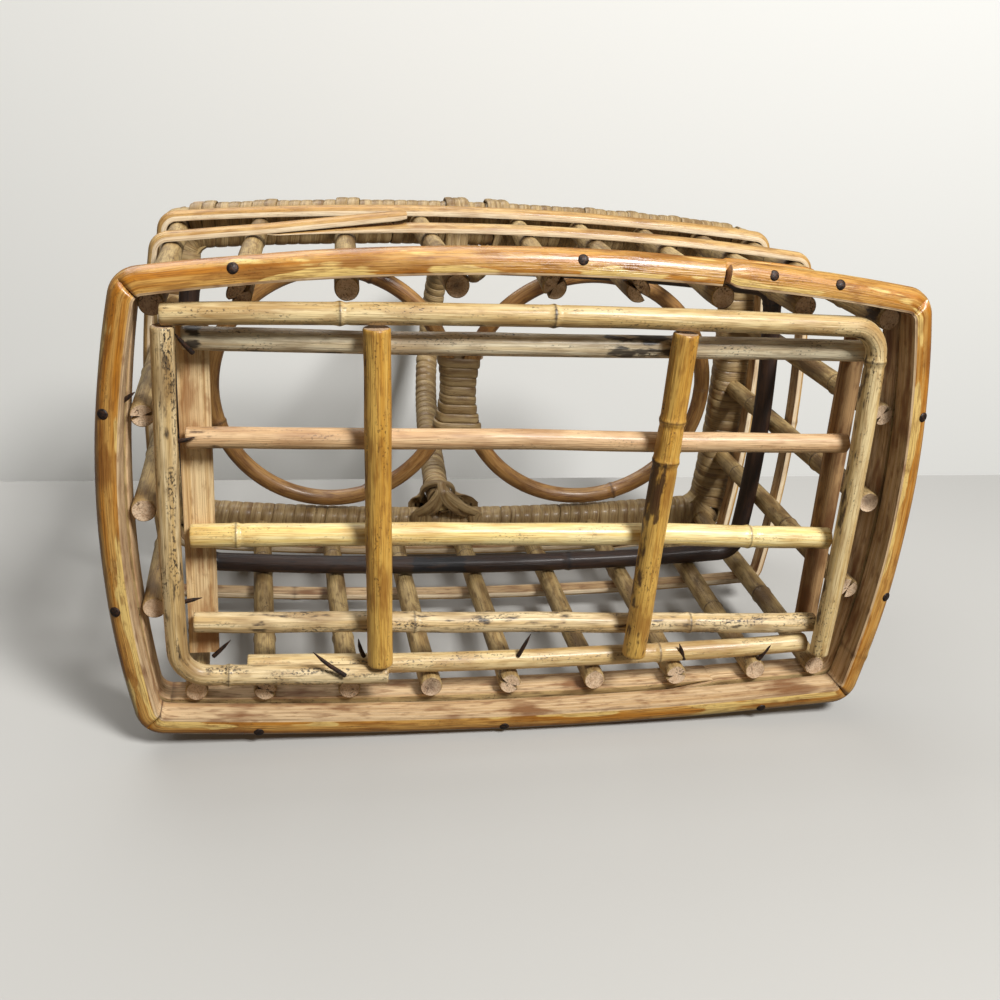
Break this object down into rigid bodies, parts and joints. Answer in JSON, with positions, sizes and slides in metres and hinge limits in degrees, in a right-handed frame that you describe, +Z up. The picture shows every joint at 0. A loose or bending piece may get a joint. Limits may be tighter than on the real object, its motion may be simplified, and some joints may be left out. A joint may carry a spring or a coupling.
{
  "type": "wine bottle basket",
  "caption": "Rattan carrier basket with an arched handle, an open slatted base and two rings at the rim that hold wine bottles upright.",
  "frame": {"origin": "centre of the bounding box's underside, on the surface that the foot hoop stands on", "axes": "+X along the long side, +Y towards the flatter long side (the front), +Z up towards the handle"},
  "size_m": [0.2452, 0.152, 0.2706],
  "materials": {
    "orange_pole": "glossy cane skin outside, dull fibres inside",
    "honey_cane": "satin cane skin",
    "dark_cane": "dark stained cane",
    "straw_pole": "satin straw-coloured cane with dark specks",
    "tan_cane": "matt peeled cane",
    "peel": "flat cane peel, satin"
  },
  "bodies": {
    "root": {"foot_hoop": "orange_pole", "middle_band": "honey_cane", "cross_stick_left": "honey_cane", "cross_stick_right": "honey_cane", "bottle_ring_left": "honey_cane", "bottle_ring_right": "honey_cane", "middle_hoop": "dark_cane", "base_pole_back_right": "straw_pole", "base_pole_left": "straw_pole", "base_pole_front": "straw_pole", "base_slat_1": "straw_pole", "base_slat_2": "straw_pole", "base_slat_3": "straw_pole", "base_slat_4": "straw_pole", "base_lath_left": "straw_pole", "base_lath_right": "straw_pole", "rim_strip": "straw_pole", "base_band": "tan_cane", "rim_inner_pole": "tan_cane", "rim_outer_pole": "tan_cane", "handle_pole": "tan_cane", "upright_back_1": "tan_cane", "upright_back_2": "tan_cane", "upright_back_3": "tan_cane", "upright_back_4": "tan_cane", "upright_back_5": "tan_cane", "upright_back_6": "tan_cane", "upright_back_7": "tan_cane", "upright_back_8": "tan_cane", "upright_back_9": "tan_cane", "upright_right_1": "tan_cane", "upright_right_2": "tan_cane", "upright_right_3": "tan_cane", "upright_front_1": "tan_cane", "upright_front_2": "tan_cane", "upright_front_3": "tan_cane", "upright_front_4": "tan_cane", "upright_front_5": "tan_cane", "upright_front_6": "tan_cane", "upright_front_7": "tan_cane", "upright_front_8": "tan_cane", "upright_front_9": "tan_cane", "upright_left_1": "tan_cane", "upright_left_2": "tan_cane", "upright_left_3": "tan_cane", "rim_binding": "peel", "handle_binding": "peel", "ring_lashing": "peel", "handle_lashing_front": "peel", "handle_lashing_back": "peel"}
  },
  "joints": []
}
